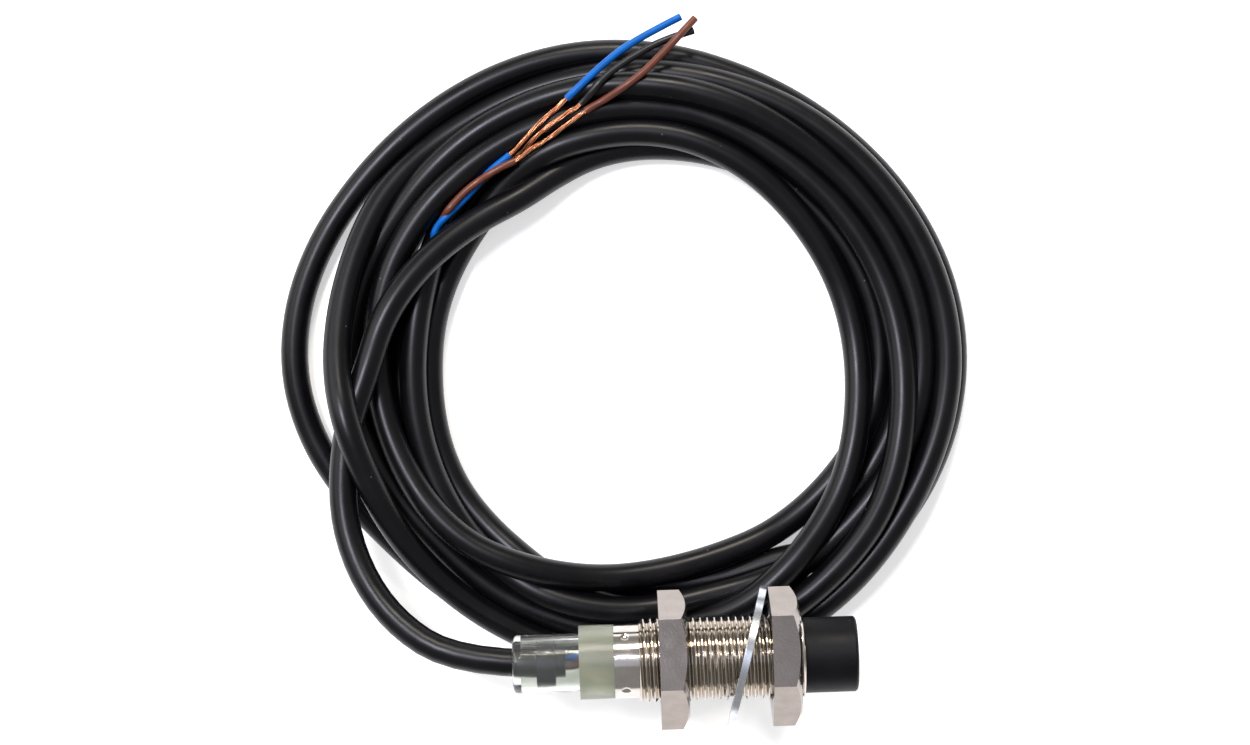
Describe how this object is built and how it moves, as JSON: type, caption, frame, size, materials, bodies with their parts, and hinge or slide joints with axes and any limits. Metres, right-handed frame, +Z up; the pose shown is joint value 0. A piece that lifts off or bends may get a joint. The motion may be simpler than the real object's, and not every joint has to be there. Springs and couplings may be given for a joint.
{
  "type": "inductive proximity sensor",
  "caption": "Cylindrical M12 threaded inductive proximity sensor with two hex nuts, an internal-tooth lock washer and a coiled three-core cable with stripped ends.",
  "frame": {"origin": "centre of the flat sensing face at the front of the black head", "axes": "+X along the barrel's axis and out of the sensing face, +Y towards the middle of the coiled cable, +Z up from the surface it lies on"},
  "size_m": [0.0996, 0.1025, 0.0293],
  "materials": {
    "nickel_plated_brass": "polished",
    "nickel_plated_nut": "satin",
    "zinc_plated_steel": "polished",
    "black_plastic": "matte",
    "ferrite": "matte",
    "white_plastic": "matte",
    "enamelled_copper": "gloss",
    "board_green": "satin",
    "chip_black": "matte",
    "chip_tan": "matte",
    "light_lens": "gloss",
    "solder": "gloss",
    "resin": "satin",
    "milky_plastic": "satin",
    "clear_plastic": "gloss",
    "dark_rubber": "matte",
    "cable_jacket": "satin",
    "core_brown": "satin",
    "core_blue": "satin",
    "core_black": "satin",
    "bare_copper": "polished"
  },
  "bodies": {
    "sensor": {"threaded_barrel": "nickel_plated_brass", "sensing_head": "black_plastic", "ferrite_core": "ferrite", "coil_spool": "white_plastic", "coil_winding": "enamelled_copper", "coil_wires": "enamelled_copper", "circuit_board": "board_green", "oscillator_chip": "chip_black", "output_transistor": "chip_black", "chip_resistors": "chip_black", "chip_capacitors": "chip_tan", "status_lights": "light_lens", "solder_joints": "solder", "potting_resin": "resin", "light_ring": "milky_plastic", "clear_end_cap": "clear_plastic", "cable_clamp_ring": "dark_rubber", "brown_inner_core": "core_brown", "blue_inner_core": "core_blue", "black_inner_core": "core_black", "cable_lead": "cable_jacket", "cable_coil": "cable_jacket", "brown_core": "core_brown", "blue_core": "core_blue", "black_core": "core_black", "brown_conductor": "bare_copper", "blue_conductor": "bare_copper", "black_conductor": "bare_copper", "brown_tip_sleeve": "core_brown", "blue_tip_sleeve": "core_blue", "black_tip_sleeve": "core_black"},
    "washer": {"lock_washer": "zinc_plated_steel"},
    "front_nut": {"front_nut": "nickel_plated_nut"},
    "rear_nut": {"rear_nut": "nickel_plated_nut"}
  },
  "joints": [
    {"name": "washer_travel", "type": "slide", "parent": "sensor", "child": "washer", "axis": [1, 0, 0], "range_m": [-0.00255, 0.0006]},
    {"name": "front_nut_turn", "type": "hinge", "parent": "washer", "child": "front_nut", "pos_m": [0, 0, 0], "axis": [1, 0, 0], "range_deg": [-919, 217]},
    {"name": "rear_nut_travel", "type": "slide", "parent": "sensor", "child": "rear_nut", "axis": [1, 0, 0], "range_m": [-0.0027, 0.0024]}
  ],
  "couplings": [
    {"joint": "front_nut_turn", "follows": "washer_travel", "rad_per_m": 6283.2}
  ]
}
